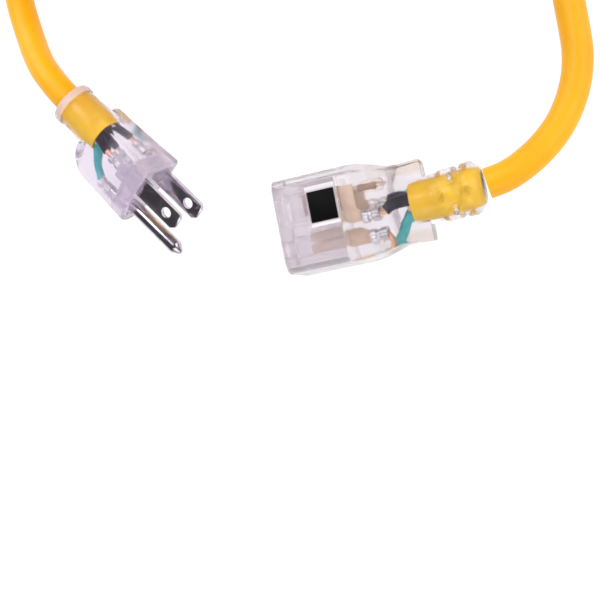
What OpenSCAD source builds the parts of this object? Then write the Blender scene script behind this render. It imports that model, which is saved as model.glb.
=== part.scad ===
// Outdoor extension cord: clear moulded plug and connector on a round three-wire cord.
// The origin is on the connector's flat side, where it rests. +Z is up and +X runs from
// the connector's face towards its cable.

/* [Cord] */
// Outer diameter of the jacket
cord_d = 9.5; // [9:0.1:9.8]
// Wall of the jacket
jacket_wall = 0.8; // [0.7:0.05:0.9]
// Diameter of an insulated wire
wire_d = 3.5; // [3:0.1:3.5]
// Diameter of a bare conductor
conductor_d = 2.2; // [1.6:0.1:2.2]
// Diameter of a filler strand
filler_d = 1.5; // [1:0.1:1.6]

/* [Coil] */
// Mean radius of the turns
coil_r = 69.25; // [69:0.05:70]
// Turns side by side
coil_across = 3; // [3:1:3]
// Layers of turns
coil_layers = 6; // [6:1:6]
// Centre of the coil, along X
coil_x = -6; // [-7:1:-5]
// Centre of the coil, along Y
coil_y = 174; // [172:1:176]
// Width of the hook-and-loop tie
tie_w = 20; // [16:1:25]
// Thickness of the tie
tie_t = 1.5; // [1:0.1:2]

/* [Blades and pin] */
// Distance between the two blades
blade_pitch = 12.7; // [12.7:0.1:12.7]
// Width of a blade
blade_w = 6.35; // [6.2:0.05:6.5]
// Thickness of a blade
blade_t = 1.52; // [1.4:0.02:1.6]
// Length of a blade in front of the face
blade_l = 17.2; // [16:0.1:18]
// Diameter of the ground pin
pin_d = 4.76; // [4.7:0.01:4.8]
// Length of the ground pin in front of the face
pin_l = 21.7; // [20:0.1:22.5]
// Distance from the line between the blades to the ground pin
pin_offset = 11.9; // [11.8:0.1:12]
// Diameter of the ground pin's neck, inside the plug
neck_d = 4.2; // [4:0.1:4.4]
// Diameter of the hole in a blade
blade_hole_d = 3.6; // [3:0.1:4]

/* [Plug] */
// Length of the plug from the cable end to its face
plug_l = 39.5; // [39:0.5:41]
// Width of the plug's face, across the blades
plug_w = 20; // [19.6:0.1:21]
// Depth of the plug from the blade line to its flat side
plug_flat = 7; // [6.8:0.1:7.5]
// Radius of the plug's round ground side
plug_round_r = 8; // [7.8:0.1:8.4]
// Turn of the plug about its own axis, as it lies
plug_roll = 22; // [20:1:24]
// Dip of the plug towards its blades, as it lies
plug_dip = 3; // [2:0.5:4]
// Direction in which the blades point
plug_heading = -55.3; // [-57:0.1:-54]

/* [Connector] */
// Width of the connector's block
conn_w = 29; // [28.6:0.1:30]
// Thickness of the connector's block
conn_t = 25; // [25:0.5:27]
// Length of the connector from its face to the end of the wings
conn_l = 45; // [44.5:0.5:46]
// Length of the strain relief behind the wings
relief_l = 17.5; // [17.5:0.5:19]
// Offset of the blade slots from the middle
slot_offset = 5.6; // [5.5:0.1:5.7]
// Width across the finger-grip wings
wing_w = 25; // [24:0.2:26]

/* [Hidden] */
$fn = 48;
slip = 0.03;
insulation_id = conductor_d + 0.4;
jacket_id = cord_d - 2 * jacket_wall;
cord_r = cord_d / 2;
crimp_d = 4.4;
crimp_l = 5;
// Where the three wires lie inside the jacket, as [y, z]
LINE = [0.9, 1.95];
NEUTRAL = [0.9, -1.95];
GROUND = [-2.1, 0];
// Plug: ends of the jacket, of the wiring space and of the crimps, along its axis
plug_jacket_x = 17;
plug_insert_x = 33.5;
crimp_space_x = 24;
plug_crimp_x = 25;
plug_tail_z = 4.6;
plug_round_y = 9.7;
plug_place = [-57.5, 25.3, 11.66];
// Connector: the same, from its face
conn_x = -15;
conn_axis_z = conn_t / 2;
conn_insert_x = 19.5;
conn_jacket_x = 37.6;
conn_crimp_x = 25;
conn_end_x = conn_l + relief_l;
conn_pin_y = slot_offset - pin_offset;
contact_z = blade_pitch / 2;
contact_t = 0.8;
contact_grip = 1.4;
ground_bore_d = 4.9;
contact_w = 7.2;
insert_w = 24.6;
insert_t = 20.4;
// Routes of the two free stretches, chosen by hand
PLUG_ROUTE = [
    [-80.2, 58.1, 13.75], [-82.8, 61.85, 13.75], [-86, 67, 13], [-88.8, 72, 11.5], [-91.3, 77.5, 9],
    [-93.4, 83.5, 6.6], [-95, 90, 5.2], [-95.9, 98, 4.75], [-95.5, 112, 4.75], [-92.5, 130, 4.75],
    [-88.5, 150, 4.75], [-85.6, 165, 4.75], [-84.75, 174, 4.75]
];
CONNECTOR_ROUTE = [
    [47.6, 0.4, 12.5], [48.8, 0.4, 12.5], [54.6, 1.9, 12], [61, 4.6, 10.9], [66.8, 8.4, 9.4],
    [71.9, 13.2, 7.9], [76.1, 18.8, 6.6], [79.3, 25, 5.6], [81.3, 31.6, 5], [82.2, 38.6, 4.75],
    [82.5, 51, 4.75], [82.5, 70, 4.75], [82.5, 92, 4.75], [82.5, 115, 4.75], [82.3, 140, 4.75],
    [82.25, 160, 4.75]
];
// Where the last turn leaves the top of the coil
COIL_TOP_END = [-87.5, 155.2, 52.25];
coil_w = coil_across * cord_d;
coil_h = coil_layers * cord_d;
outer_r = coil_r + coil_w / 2 - cord_r;
drop_steps = 14;

// ---------- helpers ----------

// Points of a circular arc
function arc(centre, r, from, to, steps = 6) = [
    for (i = [0 : steps])
        let (a = from + (to - from) * i / steps)
        centre + r * [cos(a), sin(a)]
];

// The same outline on the other side of the X axis, in reverse order
function mirrored(points) = [
    for (i = [len(points) - 1 : -1 : 0])
        [points[i][0], -points[i][1]]
];

// A flat [y, z] shape, run along X
module along_x(from, to) {
    translate([from, 0, 0])
        rotate([90, 0, 90])
            linear_extrude(height = to - from)
                children();
}

// Ring of points of diameter d round point i of a route, square to it
function ring(route, i, d, sides) =
    let (n = len(route), v = route[min(i + 1, n - 1)] - route[max(i - 1, 0)])
    let (dir = v / norm(v), across = cross(dir, [0, 0, 1]), s = across / norm(across))
    [
        for (k = [0 : sides - 1])
            route[i] + d / 2 * (s * cos(360 * k / sides) + cross(s, dir) * sin(360 * k / sides))
    ];

// Faces between two closed rings of points that start at a and b
function band(a, b, sides) = [
    for (k = [0 : sides - 1])
        let (next = (k + 1) % sides)
        [a + k, a + next, b + next, b + k]
];

// A closed round rod swept along a route, with a ring at each point
module swept(route, d = cord_d, sides = 10) {
    n = len(route);
    points = [for (i = [0 : n - 1]) each ring(route, i, d, sides)];
    walls = [for (i = [0 : n - 2]) each band(i * sides, (i + 1) * sides, sides)];
    first = [for (k = [sides - 1 : -1 : 0]) k];
    last = [for (k = [0 : sides - 1]) (n - 1) * sides + k];
    polyhedron(points = points, faces = concat([first], walls, [last]), convexity = 6);
}

// Insulation on the first n points of a route, open for the conductor inside it
module insulation(route, n, sides = 10) {
    inner = n * sides;
    points = concat(
        [for (i = [0 : n - 1]) each ring(route, i, wire_d, sides)],
        [for (i = [0 : n - 1]) each ring(route, i, insulation_id, sides)]
    );
    outside = [for (i = [0 : n - 2]) each band(i * sides, (i + 1) * sides, sides)];
    inside = [for (i = [0 : n - 2]) each band(inner + (i + 1) * sides, inner + i * sides, sides)];
    start = band(inner, 0, sides);
    end = band((n - 1) * sides, inner + (n - 1) * sides, sides);
    polyhedron(points = points, faces = concat(outside, inside, start, end), convexity = 6);
}

module jacket_end(from, to) {
    difference() {
        along_x(from, to)
            circle(d = cord_d);
        along_x(from - 1, to + 1)
            circle(d = jacket_id);
    }
}

// The three strands that fill the gaps between the wires
module fillers(from, to) {
    for (at = [[3.0, 0], [-1.6, 2.55], [-1.6, -2.55]])
        along_x(from, to)
            translate(at)
                circle(d = filler_d);
}

// A crimp barrel with the conductor's bore
module crimp(x, y, z) {
    translate([x, y, z])
        rotate([0, 90, 0])
            difference() {
                cylinder(d = crimp_d, h = crimp_l);
                translate([0, 0, -1])
                    cylinder(d = conductor_d, h = crimp_l + 2);
            }
}

// ---------- plug: +X to the blades, -Y to the ground pin ----------

module in_plug() {
    translate(plug_place)
        rotate([0, 0, plug_heading])
            rotate([0, plug_dip, 0])
                rotate([plug_roll, 0, 0])
                    translate([-plug_l, 0, 0])
                        children();
}

// Shield-shaped section of the plug, drawn in by e
module plug_section(e) {
    half = plug_w / 2 - e;
    r = plug_round_r - e;
    top = plug_flat - e;
    polygon([
        [top, half - 1.2], [top - 1.2, half], [-2, half - 0.3], [-plug_round_y, r],
        [-plug_round_y, -r], [-2, 0.3 - half], [top - 1.2, -half], [top, 1.2 - half]
    ]);
    translate([-plug_round_y, 0])
        circle(r = r);
}

module plug_outside() {
    back = 12;
    bottom = plug_round_y + plug_round_r;
    half = plug_w / 2;
    side_top = [[back, plug_flat - 0.8], [back + 0.8, plug_flat],
        [plug_l - 0.6, plug_flat], [plug_l, plug_flat - 0.6]];
    side_bottom = concat(
        [[plug_l, 0.6 - bottom], [plug_l - 0.6, -bottom], [back + 15, 0.3 - bottom]],
        arc([back + 7.5, 7.5 - bottom], 7, -90, -180),
        [[back, 9.7 - bottom]]
    );
    plan = [[back, half - 3.1], [back + 1, half - 2.7], [back + 8, half - 2.2],
        [back + 21, half - 1], [plug_l - 0.6, half], [plug_l, half - 0.6]];
    intersection() {
        along_x(back, plug_l)
            plug_section(0);
        translate([0, 0, -20])
            linear_extrude(height = 40)
                polygon(concat(side_top, side_bottom));
        rotate([90, 0, 0])
            translate([0, 0, -20])
                linear_extrude(height = 50)
                    polygon(concat(plan, mirrored(plan)));
    }
    rotate([90, 0, 90])
        rotate_extrude($fn = 64)
            polygon([[0, 0], [6.9, 0], [7.5, 0.7], [7.5, 2.9], [7.1, 3.6], [7.1, 8],
                [7.6, 13.5], [0, 13.5]]);
}

module plug_body() {
    color([0.88, 0.84, 0.9, 0.6])
        in_plug()
            difference() {
                plug_outside();
                along_x(-1, plug_jacket_x + 0.01)
                    circle(d = cord_d);
                translate([plug_jacket_x, -13.5, -6.3])
                    cube([crimp_space_x - plug_jacket_x + 0.01, 18.5, 12.6]);
                along_x(crimp_space_x, 31.01)
                    plug_section(2.6);
                along_x(31, plug_insert_x + 0.01)
                    plug_section(2.2);
                along_x(plug_insert_x, plug_l + 1)
                    plug_section(2);
            }
}

module plug_insert() {
    color([0.93, 0.84, 0.87, 0.7])
        in_plug()
            difference() {
                along_x(plug_insert_x, plug_l)
                    plug_section(2);
                for (side = [-1, 1])
                    translate([plug_l / 2 + plug_insert_x - 1, 0, side * blade_pitch / 2])
                        cube([plug_l, blade_w + 2 * slip, blade_t + 2 * slip], center = true);
                along_x(plug_insert_x - 1, plug_l + 1)
                    translate([-pin_offset, 0])
                        circle(d = neck_d + 2 * slip);
            }
}

// One blade with its tail; side is 1 for line and -1 for neutral
module blade(side) {
    tip = plug_l + blade_l;
    half = blade_w / 2;
    tail_x = plug_crimp_x + crimp_l;
    mid = side * blade_pitch / 2;
    difference() {
        translate([0, 0, mid - blade_t / 2])
            linear_extrude(height = blade_t)
                polygon([[tail_x + 2, -half], [tip - 1.3, -half], [tip, -half + 1], [tip, half - 1],
                    [tip - 1.3, half], [tail_x + 2, half]]);
        translate([tip - 5.3, 0, mid - 2])
            cylinder(d = blade_hole_d, h = 4);
        for (face = [-1, 1])
            translate([tip, 0, mid + face * (blade_t / 2 + 0.35)])
                rotate([0, face * 30, 0])
                    cube([3, blade_w + 1, 0.8], center = true);
    }
    translate([tail_x, -2, side > 0 ? plug_tail_z - 0.7 : -mid_height()])
        cube([3, 4, mid_height() - plug_tail_z + 0.7]);
}

// Outer face of a blade, from the plug's middle
function mid_height() = (blade_pitch + blade_t) / 2;

module plug_line_blade() {
    color([0.6, 0.58, 0.6])
        in_plug()
            blade(1);
}

module plug_neutral_blade() {
    color([0.6, 0.58, 0.6])
        in_plug()
            blade(-1);
}

module plug_ground_pin() {
    tail_x = plug_crimp_x + crimp_l;
    color([0.66, 0.63, 0.66])
        in_plug() {
            along_x(tail_x, plug_l + 0.5)
                translate([-pin_offset, 0])
                    circle(d = neck_d);
            along_x(plug_l + 0.3, plug_l + pin_l - pin_d / 2)
                translate([-pin_offset, 0])
                    circle(d = pin_d);
            translate([plug_l + pin_l - pin_d / 2, -pin_offset, 0])
                sphere(d = pin_d);
        }
}

// Path of each conductor in the plug, from the cable end to its crimp
function plug_path(at) = at == GROUND
    ? [[0.5, at[0], at[1]], [plug_jacket_x + 0.9, at[0], at[1]], [21.5, -8.4, 0],
        [24.5, -pin_offset, 0], [29.5, -pin_offset, 0]]
    : [[0.5, at[0], at[1]], [plug_jacket_x + 0.9, at[0], at[1]], [22.5, 0.2, sign(at[1]) * 4.4],
        [25, 0, sign(at[1]) * plug_tail_z], [29.5, 0, sign(at[1]) * plug_tail_z]];

module plug_wire(at, tint) {
    color(tint)
        in_plug()
            insulation(plug_path(at), 3);
}

module plug_conductor(at) {
    color([0.8, 0.5, 0.3])
        in_plug()
            swept(plug_path(at), conductor_d);
}

module plug_crimp(y, z) {
    color([0.86, 0.86, 0.88])
        in_plug()
            crimp(plug_crimp_x, y, z);
}

module plug_jacket_end() {
    color([1, 0.76, 0.1])
        in_plug()
            jacket_end(0, plug_jacket_x);
}

module plug_fillers() {
    color([0.9, 0.87, 0.8])
        in_plug()
            fillers(0.5, plug_jacket_x + 1);
}

// ---------- connector: drawn from its face, +X to the cable, -Y to the ground side ----------

module in_connector() {
    translate([conn_x, 0, conn_axis_z])
        children();
}

// Section of the block: round corners, rounder on the ground side
module block_section() {
    w = conn_w / 2;
    t = conn_t / 2;
    polygon(concat(
        arc([w - 4, t - 4], 4, 0, 90),
        arc([6.5 - w, t - 6.5], 6.5, 90, 180),
        arc([6.5 - w, 6.5 - t], 6.5, 180, 270),
        arc([w - 4, 4 - t], 4, 270, 360)
    ));
}

module connector_outside() {
    w = conn_w / 2;
    t = conn_t / 2;
    wing = wing_w / 2;
    plan = [[0, w - 0.8], [0.8, w], [24, w - 0.1], [28, w - 0.5], [32, w - 1.5], [35, wing - 0.4],
        [37.5, wing - 0.5], [43, wing], [conn_l - 0.5, wing], [conn_l, wing - 0.6]];
    profile = [[0, t - 0.8], [0.8, t], [26, t], [30, t - 1.8], [35, 6.6], [37.5, 5.6],
        [conn_l - 0.6, 5.6], [conn_l, 5]];
    intersection() {
        along_x(0, conn_l)
            block_section();
        translate([0, 0, -20])
            linear_extrude(height = 40)
                polygon(concat(plan, mirrored(plan)));
        rotate([90, 0, 0])
            translate([0, 0, -20])
                linear_extrude(height = 40)
                    polygon(concat(profile, mirrored(profile)));
    }
    difference() {
        translate([28, 0, 0])
            rotate([90, 0, 90])
                rotate_extrude($fn = 64)
                    polygon([[0, 0], [7.8, 0], [7.8, 17], [7.3, 17.6], [7.3, 21], [7.9, 21.6],
                        [7.9, 27.2], [7.4, 27.6], [7.4, 28.2], [8.2, 28.8], [8.2, 31.5],
                        [5.4, 34.5], [0, 34.5]]);
        for (row = [0, 1])
            for (k = [0 : 3])
                rotate([45 * row + 90 * k, 0, 0])
                    translate([51.2 + 5.4 * row, -2.2, 6.9])
                        cube([2.2, 4.4, 3]);
    }
}

// Empty space for the wires, behind the contact carrier
module wiring_space() {
    front = conn_insert_x - 0.01;
    plan = [[front, 11.8], [33, 11.8], [36.4, 8.2], [conn_jacket_x, 7.2]];
    profile = [[front, 8.6], [21, 8.6], [22.4, 7.2], [31, 7.2], [35, 5.2], [conn_jacket_x, 4.4]];
    intersection() {
        translate([0, 0, -20])
            linear_extrude(height = 40)
                polygon(concat(plan, mirrored(plan)));
        rotate([90, 0, 0])
            translate([0, 0, -20])
                linear_extrude(height = 40)
                    polygon(concat(profile, mirrored(profile)));
    }
}

module connector_body() {
    color([0.88, 0.84, 0.88, 0.6])
        in_connector()
            difference() {
                connector_outside();
                translate([-1, -insert_w / 2, -insert_t / 2])
                    cube([conn_insert_x + 1, insert_w, insert_t]);
                wiring_space();
                along_x(conn_jacket_x - 0.01, conn_end_x + 1)
                    circle(d = cord_d);
                translate([9.3, -1.6, conn_axis_z - 0.9])
                    cube([10.6, 13, 2]);
            }
}

// Space for one blade contact, behind its slot
module contact_pocket(side) {
    translate([2, slot_offset - 4.6, side * contact_z - 2.1])
        cube([conn_insert_x, 9.2, 4.2]);
    translate([-1, slot_offset - 3.7, side * contact_z - 1])
        cube([4, 7.4, 2]);
}

module connector_insert() {
    color([0.93, 0.85, 0.88, 0.7])
        in_connector()
            difference() {
                translate([0, -insert_w / 2, -insert_t / 2])
                    cube([conn_insert_x, insert_w, insert_t]);
                for (side = [-1, 1])
                    contact_pocket(side);
                along_x(2.5, conn_insert_x + 1)
                    translate([conn_pin_y, 0])
                        circle(r = 3.55);
                along_x(-1, 3)
                    translate([conn_pin_y, 0])
                        circle(d = ground_bore_d);
            }
}

// Two leaves that grip a blade, with a tail to the crimp; reach is how far the tail goes
module leaf_contact(side, reach) {
    gap = contact_grip / 2;
    front = 3;
    back = conn_insert_x + 0.1;
    for (leaf = [-gap - contact_t, gap])
        translate([front, slot_offset - contact_w / 2, side * contact_z + leaf])
            cube([back + contact_t - front, contact_w, contact_t]);
    translate([back, slot_offset - contact_w / 2, side * contact_z - gap - contact_t])
        cube([contact_t, contact_w, 2 * (gap + contact_t)]);
    tail = side > 0 ? contact_z - gap - contact_t : -contact_z + gap;
    translate([back, reach, tail])
        cube([conn_crimp_x - back, slot_offset + contact_w / 2 - reach, contact_t]);
}

module line_contact() {
    color([0.78, 0.62, 0.5])
        in_connector()
            leaf_contact(1, -3);
}

module neutral_contact() {
    color([0.78, 0.62, 0.5])
        in_connector()
            leaf_contact(-1, 0);
}

module ground_contact() {
    color([0.85, 0.73, 0.6])
        in_connector() {
            difference() {
                along_x(2.5, 19)
                    translate([conn_pin_y, 0])
                        circle(d = 7);
                along_x(1, 18)
                    translate([conn_pin_y, 0])
                        circle(d = ground_bore_d);
            }
            translate([18.5, -9.5, -contact_t / 2])
                cube([conn_crimp_x - 18.5, 5.5, contact_t]);
        }
}

// Path of each conductor in the connector, from the cable end to its crimp
function conn_path(at) = at == GROUND
    ? [[conn_end_x - 0.5, at[0], at[1]], [conn_jacket_x - 0.5, at[0], at[1]], [34.5, -6.8, 0.5],
        [32, -9.6, 0.5], [30.6, -7.5, 0], [25.5, -7.5, 0]]
    : at == LINE
    ? [[conn_end_x - 0.5, at[0], at[1]], [conn_jacket_x - 0.5, at[0], at[1]], [33.4, 0.7, 3.6],
        [31, -1.2, 4.4], [30, -1.5, 4.4], [25.5, -1.5, 4.4]]
    : [[conn_end_x - 0.5, at[0], at[1]], [conn_jacket_x - 0.5, at[0], at[1]], [33.4, 1.5, -3.6],
        [31, 2, -4.4], [30, 2, -4.4], [25.5, 2, -4.4]];

module conn_wire(at, points, tint) {
    color(tint)
        in_connector()
            insulation(conn_path(at), points);
}

module conn_conductor(at) {
    color([0.8, 0.5, 0.3])
        in_connector()
            swept(conn_path(at), conductor_d);
}

module conn_crimp(y, z) {
    color([0.86, 0.86, 0.88])
        in_connector()
            crimp(conn_crimp_x, y, z);
}

module connector_jacket_end() {
    color([1, 0.76, 0.1])
        in_connector()
            jacket_end(conn_jacket_x, conn_end_x);
}

module connector_fillers() {
    color([0.9, 0.87, 0.8])
        in_connector()
            fillers(conn_jacket_x - 1, conn_end_x - 0.5);
}

// Small lamp that shows the connector is live, below its resistor
module power_lamp() {
    color([1, 0.75, 0.6, 0.7])
        in_connector() {
            translate([24, 8, -2.6])
                rotate([0, 90, 0])
                    cylinder(d = 4, h = 5);
            translate([29, 8, -2.6])
                sphere(d = 4);
        }
}

module lamp_resistor() {
    color([0.55, 0.4, 0.3])
        in_connector()
            translate([24.5, 7.4, 2.4])
                rotate([0, 90, 0])
                    cylinder(d = 2.4, h = 5);
}

// Leads from the resistor and the lamp to the contacts' tails
module lamp_leads() {
    color([0.85, 0.7, 0.65])
        in_connector() {
            swept([[24.4, 7.4, 2.4], [23, 7.4, 2.4], [22, 6.5, 4.3]], 0.8, 8);
            swept([[29.6, 7.4, 2.4], [31.4, 7, 1.5], [31.9, 7.5, -1], [31.3, 8, -2.6]], 0.8, 8);
            swept([[23.9, 8, -2.6], [23, 8, -2.6], [22, 7, -4.3]], 0.8, 8);
        }
}

module marker_plate() {
    color([0.02, 0.02, 0.02])
        in_connector()
            translate([10.8, -0.7, conn_axis_z - 0.9])
                cube([8.4, 9.4, 0.8]);
}

// ---------- cord ----------

module plug_lead() {
    color([1, 0.76, 0.1])
        swept(PLUG_ROUTE);
}

// The last half turn comes down the outside of the coil; f runs from 0 at the floor to 1
function drop_point(f) =
    let (r = outer_r + cord_d, z = cord_r + (coil_h - cord_d) * f * f * (3 - 2 * f))
    [coil_x + r * cos(180 * f), coil_y + r * sin(180 * f), z];

module connector_lead() {
    turn = [for (i = [0 : drop_steps]) drop_point(i / drop_steps)];
    color([1, 0.76, 0.1])
        swept(concat(CONNECTOR_ROUTE, turn, [COIL_TOP_END]));
}

module tie_space(extra) {
    translate([coil_x - tie_w / 2, coil_y - coil_r - coil_w / 2 - 1 + extra, extra])
        cube([tie_w, coil_w + 2 - 2 * extra, coil_h + 1 - 2 * extra]);
}

module tie_band() {
    difference() {
        tie_space(0);
        for (side = [-1, 1])
            translate([side, 0, 0])
                tie_space(tie_t);
    }
}

module cord_coil() {
    color([1, 0.76, 0.1])
        difference() {
            translate([coil_x, coil_y, 0])
                rotate_extrude($fn = 96)
                    translate([coil_r - coil_w / 2, 0])
                        square([coil_w, coil_h]);
            tie_band();
        }
}

module coil_tie() {
    color([0.1, 0.1, 0.11])
        union() {
            tie_band();
            translate([coil_x - tie_w / 2, coil_y - coil_r - 8, coil_h + 1])
                cube([tie_w, 20, 1.2]);
        }
}

plug_body();
plug_insert();
plug_line_blade();
plug_neutral_blade();
plug_ground_pin();
plug_crimp(0, plug_tail_z);  // plug_line_crimp
plug_crimp(0, -plug_tail_z);  // plug_neutral_crimp
plug_crimp(-pin_offset, 0);  // plug_ground_crimp
plug_wire(LINE, [0.1, 0.08, 0.15]);  // plug_line_wire
plug_wire(NEUTRAL, [0.2, 0.2, 0.28]);  // plug_neutral_wire
plug_wire(GROUND, [0.2, 0.68, 0.7]);  // plug_ground_wire
plug_conductor(LINE);  // plug_line_conductor
plug_conductor(NEUTRAL);  // plug_neutral_conductor
plug_conductor(GROUND);  // plug_ground_conductor
plug_jacket_end();
plug_fillers();
connector_body();
connector_insert();
line_contact();
neutral_contact();
ground_contact();
conn_crimp(-1.5, 4.4);  // connector_line_crimp
conn_crimp(2, -4.4);  // connector_neutral_crimp
conn_crimp(-7.5, 0);  // connector_ground_crimp
conn_wire(LINE, 3, [0.1, 0.08, 0.15]);  // connector_line_wire
conn_wire(NEUTRAL, 3, [0.2, 0.2, 0.28]);  // connector_neutral_wire
conn_wire(GROUND, 4, [0.2, 0.68, 0.7]);  // connector_ground_wire
conn_conductor(LINE);  // connector_line_conductor
conn_conductor(NEUTRAL);  // connector_neutral_conductor
conn_conductor(GROUND);  // connector_ground_conductor
connector_jacket_end();
connector_fillers();
power_lamp();
lamp_resistor();
lamp_leads();
marker_plate();
plug_lead();
connector_lead();
cord_coil();
coil_tie();
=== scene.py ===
import math
import bpy
import bmesh
from mathutils import Matrix, Vector


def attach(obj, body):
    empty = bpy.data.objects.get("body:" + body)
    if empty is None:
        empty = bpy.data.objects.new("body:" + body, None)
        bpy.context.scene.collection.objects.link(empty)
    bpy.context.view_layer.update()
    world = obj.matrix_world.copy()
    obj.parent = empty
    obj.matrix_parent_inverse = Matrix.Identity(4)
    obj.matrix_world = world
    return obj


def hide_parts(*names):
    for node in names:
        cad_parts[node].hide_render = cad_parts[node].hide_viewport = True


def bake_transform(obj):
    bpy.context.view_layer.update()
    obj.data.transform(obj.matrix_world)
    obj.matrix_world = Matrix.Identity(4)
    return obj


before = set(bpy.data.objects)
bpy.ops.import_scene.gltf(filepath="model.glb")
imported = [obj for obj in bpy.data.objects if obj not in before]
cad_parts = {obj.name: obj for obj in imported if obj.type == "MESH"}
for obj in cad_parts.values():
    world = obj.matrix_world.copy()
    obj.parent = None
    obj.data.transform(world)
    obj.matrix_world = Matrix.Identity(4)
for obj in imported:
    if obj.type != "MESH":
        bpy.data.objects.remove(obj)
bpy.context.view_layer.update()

MM = 0.001
TAU = 2 * math.pi
SHARP = 40  # degrees; an edge sharper than this isn't shaded smooth

# The cord, placed as in part.scad but in metres; the connector's route starts at its moulding
CORD_D = 0.0095
CORD_R = CORD_D / 2
COIL_CENTRE = Vector((-0.006, 0.174, 0))
COIL_R = 0.06925
OUTER_R = COIL_R + CORD_D
PLUG_ROUTE = [
    (-0.0828, 0.06185, 0.01375), (-0.086, 0.067, 0.013), (-0.0888, 0.072, 0.0115),
    (-0.0913, 0.0775, 0.009), (-0.0934, 0.0835, 0.0066), (-0.095, 0.09, 0.0052),
    (-0.0959, 0.098, 0.00475), (-0.0955, 0.112, 0.00475), (-0.0925, 0.13, 0.00475),
    (-0.0885, 0.15, 0.00475), (-0.0856, 0.165, 0.00475),
]
CONNECTOR_ROUTE = [
    (0.0476, 0.0004, 0.0125), (0.0546, 0.0019, 0.012), (0.061, 0.0046, 0.0109),
    (0.0668, 0.0084, 0.0094), (0.0719, 0.0132, 0.0079), (0.0761, 0.0188, 0.0066),
    (0.0793, 0.025, 0.0056), (0.0813, 0.0316, 0.005), (0.0822, 0.0386, 0.00475),
    (0.0825, 0.051, 0.00475), (0.0825, 0.07, 0.00475), (0.0825, 0.092, 0.00475),
    (0.0825, 0.115, 0.00475), (0.0823, 0.14, 0.00475), (0.08225, 0.16, 0.00475),
]
ROUTE_STEP = 0.0025

# The coil: three turns across and six layers high. A step to the next turn takes STEP_ANGLE
# degrees, and the tie draws the turns together by the share PINCH
TURNS = 16
TURN_STEP = 2.5
STEP_ANGLE = 60
COIL_LAYERS = 6
COIL_STEPS = (["in"] * 2 + ["up"] + ["out"] * 2 + ["up"]) * 3
COIL_STEPS[-1] = "out"
DROP_STEPS = 36
PINCH = 0.06
TIE_AT = 270
TIE_W = 0.020
TIE_T = 0.0012

# Where the plug and the connector lie; both are drawn in millimetres in frames of their own,
# and so are the sizes below
PLUG_L = 39.5
PLUG_PLACE = (
    Matrix.Translation((-0.0575, 0.0253, 0.01166))
    @ Matrix.Rotation(math.radians(-55.3), 4, "Z")
    @ Matrix.Rotation(math.radians(3), 4, "Y")
    @ Matrix.Rotation(math.radians(22), 4, "X")
    @ Matrix.Scale(MM, 4)
    @ Matrix.Translation((-PLUG_L, 0, 0))
)
CONNECTOR_PLACE = Matrix.Translation((-0.015, 0, 0.0125)) @ Matrix.Scale(MM, 4)
BLADE_W = 6.35
BLADE_T = 1.52
BLADE_SPACING = 12.7
BLADE_L = 17.2
BLADE_HOLE_R = 1.8
BLADE_HOLE_FROM_TIP = 5.3
PIN_R = 2.38
PIN_L = 21.7
PIN_Y = -11.9
SOCKET_Y = -6.3
JACKET_R = 4.75
JACKET_BORE_R = 3.95
WIRE_R = 1.75
CONDUCTOR_R = 1.1
STRANDS = 6
CRIMP_D = 4.4
CRIMP_L = 5
CRIMP_X = 25

# Where the three wires lie across the cord
LINE = (0.9, 1.95)
NEUTRAL = (0.9, -1.95)
GROUND = (-2.1, 0)


# ---------- camera ----------

def make_camera():
    """The camera, placed by a fit of the blades and the pin to the photograph."""
    at = Vector((0.0888, -0.0430, 0.3845))
    target = Vector((-0.0194, -0.0214, 0))
    image_up = Vector((0.1959, 0.9806, 0))
    back = (at - target).normalized()
    right = image_up.cross(back).normalized()
    up = back.cross(right)
    data = bpy.data.cameras.new("camera")
    data.lens = 73.92
    data.sensor_width = 36
    data.clip_start = 0.01
    camera = bpy.data.objects.new("camera", data)
    camera.matrix_world = Matrix.Translation(at) @ Matrix((right, up, back)).transposed().to_4x4()
    bpy.context.scene.collection.objects.link(camera)
    bpy.context.scene.camera = camera


# ---------- shapes ----------

def mesh_piece(name, points, faces, place=None, sharp=SHARP):
    """An object from points and faces, smooth except across edges sharper than an angle."""
    mesh = bpy.data.meshes.new(name)
    mesh.from_pydata([tuple(p) for p in points], [], faces)
    if place is not None:
        mesh.transform(place)
    obj = bpy.data.objects.new(name, mesh)
    bpy.context.scene.collection.objects.link(obj)
    clean(obj, sharp)
    return obj


def clean(obj, sharp=SHARP):
    """Welds double points, turns faces outward, and shades smooth except at sharp edges."""
    bm = bmesh.new()
    bm.from_mesh(obj.data)
    bmesh.ops.remove_doubles(bm, verts=bm.verts, dist=1e-7)
    bmesh.ops.recalc_face_normals(bm, faces=bm.faces)
    bm.to_mesh(obj.data)
    bm.free()
    obj.data.shade_smooth()
    obj.data.set_sharp_from_angle(angle=math.radians(sharp))


def apply_modifiers(obj, sharp):
    """Puts what the modifiers make into the mesh itself."""
    view = bpy.context.evaluated_depsgraph_get()
    view.update()
    mesh = bpy.data.meshes.new_from_object(obj.evaluated_get(view))
    obj.modifiers.clear()
    obj.data = mesh
    clean(obj, sharp)


def combine(obj, tools, operation, sharp):
    """Boolean of obj with each tool, which is used up."""
    for tool in tools:
        cut = obj.modifiers.new("cut", "BOOLEAN")
        cut.object = tool
        cut.operation = operation
        cut.solver = "EXACT"
        apply_modifiers(obj, sharp)
        bpy.data.objects.remove(tool)
    return obj


def bevelled(obj, width, segments=2, angle=35):
    """Rounds the edges of obj that are sharper than an angle."""
    bevel = obj.modifiers.new("bevel", "BEVEL")
    bevel.width = width
    bevel.segments = segments
    bevel.limit_method = "ANGLE"
    bevel.angle_limit = math.radians(angle)
    apply_modifiers(obj, angle)
    return obj


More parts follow.
